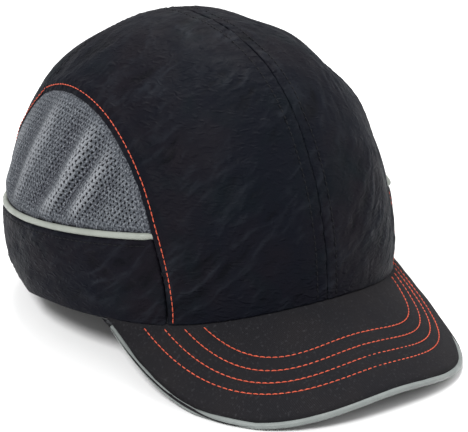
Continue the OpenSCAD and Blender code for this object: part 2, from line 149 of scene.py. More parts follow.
def at_plane(x, a):
    """Where an upright plane at x, bowed out near the top, meets the surface at angle a."""
    a = np.radians(a)

    def point(r):
        up = r * np.sin(a)
        return np.stack([x * (1 + SEAM_BOW * ease(up / 50)), -r * np.cos(a), WIDEST_Z + up], -1)

    return point(solve(lambda r: swell(point(r)) - 1, np.zeros_like(a), np.full_like(a, 200.0)))


def patch(low, high, first, last):
    """Grid that fills four edges: low and high run with the heading, first and last run up."""
    u = steps(len(low) - 1)[None, :, None]
    v = steps(len(first) - 1)[:, None, None]
    sides = (1 - v) * low[None] + v * high[None] + (1 - u) * first[:, None] + u * last[:, None]
    return sides - (1 - v) * lerp(low[0], low[-1], u) - v * lerp(high[0], high[-1], u)


def run_of(path):
    """Distance of each point from the path's start."""
    return np.concatenate([[0], np.cumsum(np.linalg.norm(np.diff(path, axis=0), axis=1))])


def along(values, run, s):
    """The three columns of values at distance s."""
    return np.stack([np.interp(s, run, values[:, k]) for k in range(3)], -1)


def resample(path, n):
    """The path's points, evenly spaced."""
    run = run_of(path)
    return along(path, run, np.linspace(0, run[-1], n + 1))


def path_length(path):
    return float(np.linalg.norm(np.diff(path, axis=0), axis=1).sum())


def flipped(p):
    """The same points on the wearer's other side."""
    return np.asarray(p) * [-1, 1, 1]


# ---- edges and seams ----


def brim_sag(x, y):
    return BRIM_FALL * (y + FRONT_LEN) - BRIM_ARCH * x * x


def brim_plan(t, inset=0.0, square=BRIM_SQUARE, wide=0.0):
    t = np.radians(t)
    x = (BRIM_HALF_W - inset + wide) * np.sign(t) * np.abs(np.sin(t)) ** (2 / square)
    return x, -BRIM_ROOT - (BRIM_LEN - inset) * np.abs(np.cos(t)) ** (2 / square)


BRIM_Z = BRIM_PIPING_R - brim_sag(*brim_plan(np.arange(0.0, 90.1, 2), BRIM_PIPING_R)).min()


def brim_mid(x, y):
    return BRIM_Z + brim_sag(x, y)


def rim_z(h):
    c = np.cos(np.radians(h))
    falls, down = math.cos(math.radians(HEM_FALLS)), math.cos(math.radians(HEM_DOWN))
    on_brim = ease((c - down) / (falls - down))
    return (brim_mid(HALF_W * np.sin(np.radians(h)), -FRONT_LEN * c) + BRIM_T / 2 + 0.6) * on_brim


def rim(h, up=0.0):
    return at_height(h, rim_z(h) + up)


def side_line(h, up=0.0, d=0.0):
    def over(z):
        return z - PIPING_Z - up + PIPING_FALL * at_height(h, z)[..., 1]

    h = np.asarray(h, float)
    return at_height(h, solve(over, 0 * h, 0 * h + 120), d)


def heading(p):
    p = np.asarray(p)
    reach = np.where(p[..., 1] < 0, FRONT_LEN, BACK_LEN)
    return np.degrees(np.arctan2(p[..., 0] / HALF_W, -p[..., 1] / reach))


def angle_where(x, f, lo, hi):
    """Angle in the plane at x where f of the surface's point turns positive."""
    return float(solve(lambda a: f(at_plane(x, a)), lo, hi))


def seam_foot(x):
    return angle_where(x, lambda p: p[..., 2] - rim_z(np.degrees(np.arcsin(p[..., 0] / HALF_W))), -20, 60)


def seam_at_y(x, y):
    return angle_where(x, lambda p: p[..., 1] - y, 20, 170)


def seam_at_line(x, lift=0.0):
    return angle_where(x, lambda p: p[..., 2] - PIPING_Z - lift + PIPING_FALL * p[..., 1], -10, 80)


def plane_path(x, a0, a1, n):
    return at_plane(x, lerp(a0, a1, steps(n)))


APEX = at_plane(-SEAM_X, seam_at_y(-SEAM_X, APEX_Y))
APEX_HEADING = float(heading(APEX))


def rear_seam(z, turn=0.0):
    z = np.asarray(z, float)
    return at_height(lerp(-REAR_HEADING, APEX_HEADING, (z / APEX[2]) ** 2) + turn, z)


def rear_line_z(lift=0.0):
    return float(solve(lambda z: z - PIPING_Z - lift + PIPING_FALL * rear_seam(z)[..., 1], 20, 100))


def cross_seam(t, shift=0.0):
    t = np.asarray(t, float)[..., None]
    return onto(lerp(APEX, np.array([0, CROSS_Y, CROWN_H]), t) + [0, shift, 0])


def arch(g, grow=0.0):
    g = np.radians(g)
    z, x = (ARCH_H + grow) * np.cos(g), -(ARCH_HALF_W + grow) * np.sin(g)
    return at_height(solve(lambda h: x - at_height(h, z)[..., 0], -180 + 0 * g, -120 + 0 * g), z)


# ---- relief of the cloth ----


def field(p, size, seed, octaves=3, ridged=False):
    """Smooth noise of about -1 to 1 at each point of p, with features of that size in mm."""
    flat = p.reshape(-1, 3) / size
    out = np.zeros(len(flat))
    for k, q in enumerate(flat):
        v = Vector((q[0] + seed * 7.3, q[1] - seed * 3.1, q[2] + seed * 5.7))
        total, gain = 0.0, 1.0
        for _ in range(octaves):
            w = noise.noise(v)
            total += gain * (1 - 4 * abs(w) if ridged else 2 * w)
            v, gain = v * 2.03, gain * 0.5
        out[k] = total
    return out.reshape(p.shape[:-1]) / (2 - 0.5 ** (octaves - 1))


def normals(grid):
    n = np.cross(np.gradient(grid, axis=1), np.gradient(grid, axis=0))
    n /= np.maximum(np.linalg.norm(n, axis=-1, keepdims=True), 1e-9)
    out = (n * (grid - [0, 0, WIDEST_Z])).sum(-1).mean()
    return n if out > 0 else -n


def spacing(grid):
    """Distances between neighbouring points, across and up the grid."""
    return [np.linalg.norm(np.diff(grid, axis=axis), axis=-1) for axis in (1, 0)]


def edge_runs(grid):
    """Distance of each point from the first, last, low and high edge of the grid."""
    across, up = spacing(grid)
    first = np.concatenate([np.zeros((len(grid), 1)), np.cumsum(across, 1)], 1)
    low = np.concatenate([np.zeros((1, grid.shape[1])), np.cumsum(up, 0)], 0)
    return first, first[:, -1:] - first, low, low[-1:] - low


# Where the cloth is held out by the shell's corners or sinks between them:
# a point of the crown, how far it moves outwards, and how wide the change is.
CORNERS = [
    ((45, -22, 140), 0.6, 15), ((63, -57, 111), 0.7, 13), ((54, -40, 127), -0.9, 13),
    ((71, -72, 76), -1.9, 19), ((69, -66, 94), -0.8, 12), ((34, -6, 147), -0.9, 16),
    ((10, 18, 151), 1.2, 24), ((-51, 51, 123), 0.9, 16), ((-32, 41, 140), -0.5, 14),
    ((40, -98, 92), 0.8, 18), ((-36, -98, 96), 0.9, 20), ((-42, -102, 66), -0.8, 18),
    ((28, -108, 58), -0.6, 16), ((0, -80, 128), 0.7, 24), ((-60, -60, 112), 0.8, 16),
    ((55, 60, 112), 0.9, 18), ((0, 92, 106), 0.8, 22),
]


def drape(grid):
    out = 0.45 * field(grid, 34, 2, 2)
    for place, rise, width in CORNERS:
        away = np.linalg.norm(grid - onto(np.array(place, float)), axis=-1)
        out += rise * bell(away, 0, width)
    return out


def crinkle(grid, seed, lean=0.6):
    """Creases of crinkled nylon in mm, drawn out along a lean from lower back to upper front."""
    slanted = grid * [0.45, 0.45, 1.0]
    slanted[..., 2] += lean * grid[..., 1] - 0.7 * grid[..., 0] + 1.8 * field(grid, 11, seed + 7, 2)
    fine = field(slanted, 3.6, seed, 3, ridged=True)
    broad = field(slanted, 11, seed + 4, 2, ridged=True)
    patches = 0.6 + 0.5 * field(grid, 24, seed + 9, 2)
    return (0.26 * fine + 0.42 * broad) * np.clip(patches, 0.15, 1.2)


def seam_sink(edge, depth, width):
    return -depth * (1 - ease(edge / width))


def row_groove(edge, inset, depth=0.28):
    """A row of stitches presses a narrow groove into the cloth."""
    return -depth * bell(edge, inset, 0.8)


def pucker(edge, along, pitch, depth, reach, seed):
    """Short gathers that a stitched seam pulls across itself."""
    phase = along / pitch * 2 * math.pi + 1.7 * np.sin(along / 17.0 + seed) + seed
    return depth * np.sin(phase) * np.exp(-edge / reach) * ease(edge / 1.2)


# ---- meshes ----


def shade_by(obj, values):
    """Stores how raised each point of the cloth is, for its material to paint highlight on the high points
    and shade on the low ones.
    """
    layer = obj.data.attributes.new("raised", "FLOAT", "POINT")
    layer.data.foreach_set("value", np.asarray(values, np.float32))


def new_object(name, verts, faces, uv=None):
    mesh = bpy.data.meshes.new(name)
    mesh.from_pydata([tuple(v) for v in np.asarray(verts) * MM], [], faces)
    mesh.update()
    if uv is not None:
        layer = mesh.uv_layers.new(name="cloth")
        loops = np.empty(len(mesh.loops), np.int32)
        mesh.loops.foreach_get("vertex_index", loops)
        layer.data.foreach_set("uv", np.asarray(uv, np.float32)[loops].ravel() * MM)
    mesh.polygons.foreach_set("use_smooth", [True] * len(mesh.polygons))
    obj = bpy.data.objects.new(name, mesh)
    bpy.context.scene.collection.objects.link(obj)
    return obj


def face_outwards(obj):
    """Normals point out of a closed piece."""
    bm = bmesh.new()
    bm.from_mesh(obj.data)
    bmesh.ops.recalc_face_normals(bm, faces=bm.faces)
    bm.to_mesh(obj.data)
    bm.free()


def slab_mesh(name, outer, inner, closed=False, keep=None, poles=None):
    """Closed solid between two grids of points, with cloth coordinates in metres.

    With poles, the last row closes in fans to an outer and an inner point."""
    nj, ni = outer.shape[:2]
    cells = ni if closed else ni - 1
    there = np.ones((nj - 1, cells), bool) if keep is None else keep

    def vid(side, i, j):
        return (side * nj + j) * ni + i % ni

    def solid(i, j):
        if not closed and not 0 <= i < cells:
            return False
        return 0 <= j < nj - 1 and bool(there[j, i % cells])

    faces = []
    for j in range(nj - 1):
        for i in range(cells):
            if not solid(i, j):
                continue
            faces.append((vid(0, i, j), vid(0, i + 1, j), vid(0, i + 1, j + 1), vid(0, i, j + 1)))
            faces.append((vid(1, i, j), vid(1, i, j + 1), vid(1, i + 1, j + 1), vid(1, i + 1, j)))
            for other, a, b in (
                ((i - 1, j), (i, j + 1), (i, j)),
                ((i + 1, j), (i + 1, j), (i + 1, j + 1)),
                ((i, j - 1), (i, j), (i + 1, j)),
                ((i, j + 1), (i + 1, j + 1), (i, j + 1)),
            ):
                if not solid(*other) and not (poles and other[1] == nj - 1):
                    faces.append((vid(0, *b), vid(0, *a), vid(1, *a), vid(1, *b)))
    first, _, low, _ = edge_runs(outer)
    uv = np.stack([first, low], -1).reshape(-1, 2)
    verts = np.concatenate([outer.reshape(-1, 3), inner.reshape(-1, 3)])
    uv = np.concatenate([uv, uv])
    if poles:
        for side in (0, 1):
            faces += [(vid(side, i, nj - 1), vid(side, i + 1, nj - 1), len(verts) + side) for i in range(ni)]
        verts, uv = np.concatenate([verts, poles]), np.concatenate([uv, uv[-2:]])
    used = np.zeros(len(verts), bool)
    used[[k for face in faces for k in face]] = True
    index = np.cumsum(used) - 1
    faces = [tuple(int(index[k]) for k in face) for face in faces]
    obj = new_object(name, verts[used], faces, uv=uv[used])
    face_outwards(obj)
    return obj


def ring_faces(rings, sides, closed=False):
    """Faces that join rings of points."""
    corners = ((0, 0), (0, 1), (1, 1), (1, 0))
    return [tuple((k + a) % rings * sides + (s + b) % sides for a, b in corners)
            for k in range(rings if closed else rings - 1) for s in range(sides)]


def tube_parts(path, radius, ups, sides, flat=1.0):
    """Vertices and faces of a capped tube; radius may change along the path."""
    path, ups = np.asarray(path, float), np.asarray(ups, float)
    n = len(path)
    radius = np.broadcast_to(radius, n)
    run = np.gradient(path, axis=0)
    side = unit(np.cross(run, ups))
    up = unit(np.cross(side, run))
    angle = 2 * math.pi * (np.arange(sides) + 0.5) / sides
    ring = np.cos(angle)[None, :, None] * side[:, None] + flat * np.sin(angle)[None, :, None] * up[:, None]
    verts = (path[:, None] + radius[:, None, None] * ring).reshape(-1, 3)
    caps = [tuple(range(sides - 1, -1, -1)), tuple((n - 1) * sides + s for s in range(sides))]
    return verts, ring_faces(n, sides) + caps


def join_parts(name, parts):
    verts, faces, base = [], [], 0
    for v, f in parts:
        verts.append(v)
        faces += [tuple(k + base for k in face) for face in f]
        base += len(v)
    obj = new_object(name, np.concatenate(verts), faces)
    face_outwards(obj)
    return obj


def stitch_parts(path, ups, lift, radius=STITCH_R):
    """One short bowed thread per stitch, its ends pulled into the cloth."""
    run = run_of(path)
    count = max(1, round(run[-1] / (STITCH + STITCH_GAP)))
    pitch = run[-1] / count
    bow = np.sin(np.linspace(0.0, math.pi, 7))
    parts = []
    for k in range(count):
        s = np.linspace(k * pitch + STITCH_GAP / 2, (k + 1) * pitch - STITCH_GAP / 2, len(bow))
        up = unit(along(ups, run, s))
        height = lift - radius * 1.5 * (1 - bow)
        points = along(path, run, s) + up * height[:, None]
        parts.append(tube_parts(points, radius * (0.55 + 0.45 * bow), up, 6))
    return parts


def outward(path):
    """Unit vectors out of the crown at the points of a path."""
    e = 0.05
    return unit(np.stack([swell(path + e * axis) - swell(path - e * axis) for axis in np.eye(3)], -1))


# The points of each finished crown panel are kept, so that threads can lie on them
SKINS = []


def tree_of(points):
    tree = kdtree.KDTree(len(points))
    for k, p in enumerate(points):
        tree.insert(p, k)
    tree.balance()
    return tree


def settle(path, tree):
    """Moves a path out or in so that it lies on the finished cloth."""
    out = outward(path)
    rise = np.zeros(len(path))
    for k, p in enumerate(path):
        found = [f for f in tree.find_n(Vector(p), 6) if f[2] < SETTLE_REACH]
        if found:
            weights = np.array([1 / (f[2] + 0.2) for f in found])
            heights = np.array([np.dot(np.array(f[0]) - p, out[k]) for f in found])
            rise[k] = (weights * heights).sum() / weights.sum()
    smoothed = np.convolve(np.pad(rise, 2, mode="edge"), np.ones(5) / 5, "valid")
    return path + out * smoothed[:, None]


# ---- materials ----


class Look:
    """A node material, built by short calls."""

    def __init__(self, name, color, rough, specular=0.5, sheen=0.0, sheen_rough=0.5):
        self.mat = bpy.data.materials.new(name)
        self.mat.use_nodes = True
        self.tree = self.mat.node_tree
        self.shader = self.tree.nodes["Principled BSDF"]
        self.shader.inputs["Base Color"].default_value = (*color, 1)
        self.shader.inputs["Roughness"].default_value = rough
        self.shader.inputs["Specular IOR Level"].default_value = specular
        self.shader.inputs["Sheen Weight"].default_value = sheen
        self.shader.inputs["Sheen Roughness"].default_value = sheen_rough
        self.height = None
        self.coords = {}

    def node(self, kind, **inputs):
        """Adds a node: set_x sets a property, i0 fills the first input and Any_Name a named one."""
        made = self.tree.nodes.new(kind)
        for key, value in inputs.items():
            if key.startswith("set_"):
                setattr(made, key[4:], value)
                continue
            numbered = key[0] == "i" and key[1:].isdigit()
            socket = made.inputs[int(key[1:]) if numbered else key.replace("_", " ")]
            if isinstance(value, bpy.types.NodeSocket):
                self.tree.links.new(value, socket)
            else:
                socket.default_value = value
        return made

    def math(self, operation, a, b=0.0):
        return self.node("ShaderNodeMath", set_operation=operation, i0=a, i1=b).outputs[0]

    def times(self, a, b):
        return self.math("MULTIPLY", a, b)

    def raised(self):
        """How raised the cloth is, as stored by shade_by; the looks paint highlight and shade from it."""
        return self.node("ShaderNodeAttribute", set_attribute_name="raised").outputs["Fac"]

    def uv(self):
        """The cloth's own coordinates, in metres."""
        return self.node("ShaderNodeSeparateXYZ", i0=self.place("UV")).outputs[:2]

    def place(self, kind="Object"):
        if kind not in self.coords:
            if kind == "UV":
                self.coords[kind] = self.node("ShaderNodeUVMap", set_uv_map="cloth").outputs[0]
            else:
                self.coords[kind] = self.node("ShaderNodeTexCoord").outputs[kind]
        return self.coords[kind]

    def noise(self, size_mm, detail=3.0, rough=0.55, kind="FBM", stretch=None, warp=0.0):
        at = self.place()
        if stretch:
            at = self.node("ShaderNodeMapping", Vector=at, Scale=stretch[0], Rotation=stretch[1]).outputs[0]
        return self.node("ShaderNodeTexNoise", set_noise_type=kind, set_normalize=True, Vector=at,
                         Scale=1000.0 / size_mm, Detail=detail, Roughness=rough, Distortion=warp).outputs[0]

    def remap(self, value, lo, hi, at_lo, at_hi):
        return self.node("ShaderNodeMapRange", i0=value, i1=lo, i2=hi, i3=at_lo, i4=at_hi).outputs[0]

    def tint(self, value, lo, hi, color, at_lo=0.0, at_hi=1.0):
        """Mixes a colour into the base colour, by a share that changes as value goes from lo to hi."""
        factor = self.remap(value, lo, hi, at_lo, at_hi)
        base = self.shader.inputs["Base Color"]
        mix = self.node("ShaderNodeMix", set_data_type="RGBA")
        self.tree.links.new(factor, mix.inputs[0])
        if base.is_linked:
            self.tree.links.new(base.links[0].from_socket, mix.inputs[6])
        else:
            mix.inputs[6].default_value = base.default_value
        mix.inputs[7].default_value = (*color, 1)
        self.tree.links.new(mix.outputs[2], base)

    def rough(self, size_mm, detail, least, most):
        """Lets the roughness wander between two values."""
        value = self.remap(self.noise(size_mm, detail), 0.3, 0.7, least, most)
        self.tree.links.new(value, self.shader.inputs["Roughness"])

    def raise_by(self, height, depth_mm, strength=1.0):
        """Adds relief of that depth."""
        bump = self.node("ShaderNodeBump", Height=height, Distance=depth_mm * MM, Strength=strength)
        if self.height is not None:
            self.tree.links.new(self.height, bump.inputs["Normal"])
        self.height = bump.outputs[0]
        self.tree.links.new(self.height, self.shader.inputs["Normal"])

    def weave(self, pitch_mm, twill=False):
        """Over-and-under height of a weave."""
        u, v = (self.times(part, 2 * math.pi * 1000 / pitch_mm) for part in self.uv())
        if twill:
            lean = self.math("SINE", self.math("ADD", u, v))
            thread = self.math("SINE", self.times(self.math("SUBTRACT", u, v), 2.0))
            return self.math("ADD", self.times(lean, 0.4), self.times(thread, 0.12))
        return self.times(self.times(self.math("SINE", u), self.math("SINE", v)), 0.5)


def crown_look():
    look = Look("crown_nylon", (0.0027, 0.0033, 0.0060), 0.50, 0.04, 0.010, 0.4)
    look.shader.inputs["Sheen Tint"].default_value = (0.60, 0.68, 0.86, 1)
    look.tint(look.noise(46, 3), 0.42, 0.66, (0.0044, 0.0037, 0.0058))
    look.tint(look.noise(28, 4, warp=0.4), 0.5, 0.72, (0.0024, 0.0041, 0.0060))
    # painted highlight on the crinkle's ridges and painted shade in its hollows, keyed to the stored crease
    # heights
    raised = look.raised()
    look.tint(raised, 0.10, 0.50, (0.0125, 0.0145, 0.0190), 0, 0.55)
    look.tint(raised, -0.10, -0.45, (0.0012, 0.0014, 0.0024), 0, 0.75)
    creases = look.noise(4.2, 4, 0.6, "RIDGED_MULTIFRACTAL", stretch=((1, 1, 2.3), (0.25, 0.62, 0)), warp=0.5)
    # painted highlight along the crease lines; the same noise raises the bump below
    look.tint(creases, 0.5, 0.95, (0.0095, 0.0112, 0.0150), 0, 0.5)
    look.rough(9, 3, 0.48, 0.68)
    look.raise_by(creases, 0.8, 0.9)
    look.raise_by(look.noise(2.0, 2, stretch=((1, 1, 1.6), (0.4, 0.2, 0.3))), 0.16, 0.8)
    look.raise_by(look.weave(0.62), 0.05, 0.8)
    return look.mat


def mesh_look():
    look = Look("mesh_knit", (0.062, 0.069, 0.078), 0.85, 0.06, 0.02)
    # painted highlight on the ridges of the folds and painted shade in their valleys and along the cut edges,
    # keyed to the stored fold heights
    raised = look.raised()
    look.tint(raised, 0.2, 1.7, (0.215, 0.225, 0.24), 0, 1.0)
    look.tint(raised, 0.0, -1.4, (0.030, 0.033, 0.041), 0, 1.0)
    knit = look.weave(0.75)
    look.tint(knit, -0.5, 0.1, (0.045, 0.048, 0.058), 0.6, 0)
    fibres = look.noise(0.8, 2, 0.6)
    look.tint(fibres, 0.50, 0.66, (0.185, 0.197, 0.215), 0, 0.7)
    look.tint(fibres, 0.50, 0.36, (0.024, 0.026, 0.032), 0, 0.8)
    # painted shade round each hole: the knit is darkened where it rims the openings
    u, v = look.uv()
    column = look.math("COSINE", look.times(u, 2000 * math.pi / PITCH_ALONG))
    row = look.math("SUBTRACT", look.times(v, 1000 * math.pi / PITCH_UP), math.pi / 2)
    holes = look.times(look.times(column, look.math("COSINE", row)), -1.0)
    look.tint(holes, 0.35, 0.80, (0.012, 0.013, 0.017), 0, 0.95)
    look.raise_by(knit, 0.12, 0.8)
    look.raise_by(fibres, 0.10, 0.6)
    return look.mat


def brim_look():
    look = Look("brim_canvas", (0.0115, 0.0112, 0.0128), 0.86, 0.05, 0.01)
    look.tint(look.noise(30, 3), 0.42, 0.68, (0.0145, 0.0133, 0.0142))
    threads = look.weave(0.9)
    look.tint(threads, -0.45, 0.3, (0.0045, 0.0045, 0.006), 0.6, 0)
    specks = look.noise(1.3, 2)
    look.tint(specks, 0.58, 0.75, (0.030, 0.030, 0.033), 0, 0.6)
    look.raise_by(threads, 0.10, 0.9)
    look.raise_by(look.noise(5, 3), 0.12, 0.4)
    return look.mat


def piping_look(name, color, dark):
    look = Look(name, color, 0.5, 0.3, 0.04, 0.4)
    look.tint(look.noise(11, 4), 0.42, 0.72, dark, 0, 0.7)
    look.rough(6, 3, 0.38, 0.6)
    look.raise_by(look.noise(0.45, 2), 0.05, 0.6)
    look.raise_by(look.noise(3.5, 3), 0.12, 0.5)
    return look.mat


def thread_look(name, color, dark):
    look = Look(name, color, 0.55, 0.12, 0.02, 0.35)
    twist = look.noise(0.7, 2, stretch=((1, 1, 2.5), (0.6, 0.5, 0)))
    look.tint(twist, 0.4, 0.65, dark, 0.7, 0)
    look.raise_by(twist, 0.12, 0.8)
    return look.mat


def plain_cloth_look(name, color, light, pitch, twill=False, sheen=0.03):
    look = Look(name, color, 0.85, 0.1, sheen)
    threads = look.weave(pitch, twill)
    look.tint(threads, 0.0, 0.5, light, 0, 0.7)
    look.tint(look.noise(16, 3), 0.45, 0.7, light, 0, 0.5)
    look.raise_by(threads, 0.16 * pitch, 0.9)
    look.raise_by(look.noise(2.5, 3), 0.1, 0.5)
    return look.mat


def terry_look():
    look = Look("sweatband_terry", (0.014, 0.015, 0.018), 0.95, 0.12, 0.06, 0.6)
    loops = look.node("ShaderNodeTexVoronoi", Vector=look.place(), Scale=1000 / 1.5).outputs[0]
    look.tint(loops, 0.2, 0.6, (0.008, 0.009, 0.012), 0, 0.6)
    look.raise_by(loops, -0.4, 0.9)
    look.raise_by(look.noise(6, 3), 0.3, 0.5)
    return look.mat


def pile_look():
    look = Look("hook_and_loop_pile", (0.010, 0.011, 0.014), 0.9, 0.15, 0.05)
    fuzz = look.noise(0.9, 4, 0.7, warp=1.2)
    look.tint(fuzz, 0.45, 0.7, (0.034, 0.036, 0.043), 0, 0.8)
    look.raise_by(fuzz, 0.4, 0.9)
    return look.mat


def shell_look():
    look = Look("shell_polyethylene", (0.008, 0.009, 0.011), 0.5, 0.12)
    grain = look.noise(0.8, 2)
    look.tint(look.noise(24, 3), 0.4, 0.7, (0.012, 0.013, 0.015), 0, 0.6)
    look.rough(5, 4, 0.45, 0.62)
    look.raise_by(grain, 0.05, 0.6)
    look.raise_by(look.noise(14, 2), 0.12, 0.3)
    return look.mat


def rubber_look():
    look = Look("edge_rubber", (0.012, 0.013, 0.015), 0.6, 0.2)
    look.tint(look.noise(9, 3), 0.45, 0.7, (0.028, 0.029, 0.032), 0, 0.6)
    look.rough(4, 3, 0.5, 0.7)
    look.raise_by(look.noise(0.9, 2), 0.05, 0.6)
    return look.mat


LOOKS = {
    "crown_cloth": crown_look(),
    "mesh_cloth": mesh_look(),
    "reflective_piping": piping_look("side_reflective", (0.215, 0.23, 0.205), (0.16, 0.172, 0.152)),
    "brim_piping_cloth": piping_look("brim_reflective", (0.15, 0.165, 0.16), (0.11, 0.122, 0.12)),
    "coloured_thread": thread_look("orange_thread", (0.60, 0.105, 0.056), (0.26, 0.038, 0.020)),
    "black_thread": thread_look("black_thread", (0.0035, 0.0038, 0.0052), (0.002, 0.002, 0.003)),
    "brim_cloth": brim_look(),
    "brim_stiffener": rubber_look(),
    "lining_tape": plain_cloth_look("lining_tape", (0.03, 0.033, 0.04), (0.055, 0.06, 0.07), 0.9),
    "sweatband_cloth": terry_look(),
    "binding_cloth": plain_cloth_look("binding_cloth", (0.014, 0.017, 0.025), (0.030, 0.035, 0.046), 0.7),
    "webbing": plain_cloth_look("strap_webbing", (0.015, 0.018, 0.026), (0.040, 0.045, 0.058), 1.6, True),
    "hook_and_loop": pile_look(),
    "shell_plastic": shell_look(),
    "shell_trim": rubber_look(),
    "pad_foam": plain_cloth_look("pad_cloth", (0.034, 0.038, 0.047), (0.062, 0.068, 0.08), 0.8, sheen=0.06),
}


def dress(obj, slot, body="cap", nodes=None):
    """Finish, body and the CAD nodes that a piece stands for: the one of its own name if none is given."""
    name = obj.name.split(".")[0]
    obj.name = name + "_finished"
    obj.data.materials.clear()
    obj.data.materials.append(LOOKS[slot])
    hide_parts(*(nodes or [name]))
    if body:
        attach(obj, body)
    return obj


def cloth_piece(name, grid, relief, crease):
    """A sewn panel of crown cloth: the grid raised by its relief, with the thickness of the cloth."""
    skin = grid + normals(grid) * relief[..., None]
    skin[..., 2] = np.maximum(skin[..., 2], 0.0)
    SKINS.append(skin.reshape(-1, 3))
    inner = skin - normals(skin) * CLOTH_T
    inner[..., 2] = np.maximum(inner[..., 2], 0.0)
    obj = slab_mesh(name, skin, inner)
    # the crease heights go to the material, which paints highlight and shade from them
    shade_by(obj, np.tile(crease.ravel(), 2))
    dress(obj, "crown_cloth")
    return obj


# ---- crown panels ----
# Each is made for the wearer's right and mirrored for the left, with its own creases.

SIDES = (("right", 1), ("left", -1))


def front_grid(ni=84, nj=250):
    x, gap = -SEAM_X + 0.15, -0.12
    side = plane_path(x, seam_foot(x), seam_at_y(x, APEX_Y - 0.2), nj)
    foot = rim(math.degrees(math.asin(gap / HALF_W)))
    a0 = math.degrees(math.atan2(foot[2] - WIDEST_Z, -foot[1]))
    middle = plane_path(gap, a0, seam_at_y(gap, CROSS_Y - 0.15), nj)
    low = rim(lerp(float(heading(side[0])), float(heading(middle[0])), steps(ni)))
    top = cross_seam(steps(ni), -0.15)
    top[0], top[-1] = side[-1], middle[-1]
    return onto(patch(low, top, side, middle))


def build_front(side, flip):
    grid = front_grid() * [flip, 1, 1]
    seed = 11 if flip > 0 else 23
    first, last, low, high = edge_runs(grid)
    crease = crinkle(grid, seed, 0.45 * flip)
    relief = drape(grid) * ease(low / 18) + crease
    relief *= 1 - 0.75 * np.exp(-low / 6)
    relief += seam_sink(last, 0.35, 0.9) + seam_sink(high, 0.35, 0.9)
    relief += seam_sink(first, 1.1, 1.3) + 0.15
    # the twin rows press the cloth down either side of the centre seam
    relief += row_groove(last, 5.4)
    relief += row_groove(first, 2.1, 0.30)
    # the cloth swells behind the coloured row
    relief += 0.9 * bell(first, 7.0, 3.0) * ease(low / 15)
    relief += row_groove(high, 3.0)
    relief += pucker(last, low, 6.1, 0.20, 7, seed) + pucker(first, low, 5.3, 0.20, 6, seed + 2)
    relief += pucker(high, first, 5.7, 0.18, 6, seed + 4)
    relief += 0.30 * np.sin(first / 9 + seed) * np.exp(-low / 14) * ease(low / 4)
    cloth_piece(f"front_panel_{side}", grid, relief, crease)


def rear_grid(ni=66, nj=190):
    turn = -0.12
    side = resample(rear_seam(np.linspace(0, APEX[2], 200), turn), nj)
    top_a = angle_where(-0.12, lambda p: ARCH_H + 1.0 - p[..., 2], 100, 179)
    middle = plane_path(-0.12, top_a, seam_at_y(-0.12, CROSS_Y + 0.15), nj)
    curve = arch(np.linspace(0, 90, 120), 1.0)
    hem = rim(lerp(float(heading(curve[-1])), -REAR_HEADING + turn, steps(24)))
    low = np.concatenate([resample(curve, 50), resample(hem, ni - 50)[1:]])
    low[0], low[-1] = middle[0], side[0]
    top = cross_seam(1 - steps(ni), 0.15)
    top[0], top[-1] = middle[-1], side[-1]
    return onto(patch(low, top, middle, side))


def build_rear(side, flip):
    grid = rear_grid() * [flip, 1, 1]
    seed = 31 if flip > 0 else 43
    first, last, low, high = edge_runs(grid)
    crease = crinkle(grid, seed, 0.45 * flip)
    relief = drape(grid) * ease(low / 20) * ease(last / 14) + crease
    relief *= 1 - 0.75 * np.exp(-low / 6)
    relief += seam_sink(first, 0.35, 0.9) + seam_sink(high, 0.35, 0.9) + seam_sink(last, 0.9, 1.3)
    relief += row_groove(first, 5.4) + row_groove(high, 3.0)
    relief += pucker(first, low, 6.1, 0.20, 7, seed) + pucker(high, first, 5.7, 0.18, 6, seed + 4)
    relief += pucker(last, low, 5.1, 0.18, 5, seed + 6)
    cloth_piece(f"rear_panel_{side}", grid, relief, crease)


def band_grid(ni=190, nj=62):
    x = -SEAM_X - 0.15
    drop = -PIPING_R + 0.35
    rear = rear_seam(np.linspace(0, rear_line_z(drop), nj + 1), 0.12)
    front = plane_path(x, seam_foot(x), seam_at_line(x, drop), nj)
    low = rim(lerp(float(heading(rear[0])), float(heading(front[0])), steps(ni)))
    top = side_line(lerp(float(heading(rear[-1])), float(heading(front[-1])), steps(ni)), drop)
    for row, k in ((low, 0), (top, -1)):
        row[0], row[-1] = rear[k], front[k]
    return onto(patch(low, top, rear, front))


def build_band(side, flip):
    grid = band_grid() * [flip, 1, 1]
    seed = 51 if flip > 0 else 63
    first, last, low, high = edge_runs(grid)
    inner = ease(low / 10) * ease(high / 8)
    swollen = 0.9 * ease(1 - high / 26) * ease(high / 2.5) * ease(last / 30)
    crease = crinkle(grid, seed, 0.35 * flip)
    relief = crease * (0.35 + 0.65 * inner) + swollen
    relief += 0.5 * field(grid, 30, seed, 2) * inner
    relief += seam_sink(last, 0.9, 1.5) + seam_sink(first, 0.9, 1.5) + seam_sink(high, 0.55, 1.6)
    relief += row_groove(high, 3.4, 0.25)
    relief += pucker(high, first, 5.9, 0.18, 6, seed) + pucker(last, low, 5.3, 0.18, 5, seed)
    cloth_piece(f"side_band_{side}", grid, relief, crease)


for side_name, flip_x in SIDES:
    build_front(side_name, flip_x)
    build_rear(side_name, flip_x)
    build_band(side_name, flip_x)

# ---- mesh panels: a knit with real holes ----


def side_point(y, v):
    """Point of the surface on the wearer's right at y, about v mm up from the widest height."""
    a = v / SIDE_R

    def point(r):
        return np.stack([-r * np.cos(a), y + 0 * r, WIDEST_Z + r * np.sin(a)], -1)

    return point(solve(lambda r: swell(point(r)) - 1, np.zeros_like(a), np.full_like(a, 200.0)))


MESH_Y = np.linspace(-84, 88, 400)
MESH_RUN = run_of(side_point(MESH_Y, 0 * MESH_Y + 38.0))


def mesh_point(u, v):
    """The panel's own coordinates: u mm along the side and v mm up."""
    return side_point(np.interp(u, MESH_RUN, MESH_Y), v)


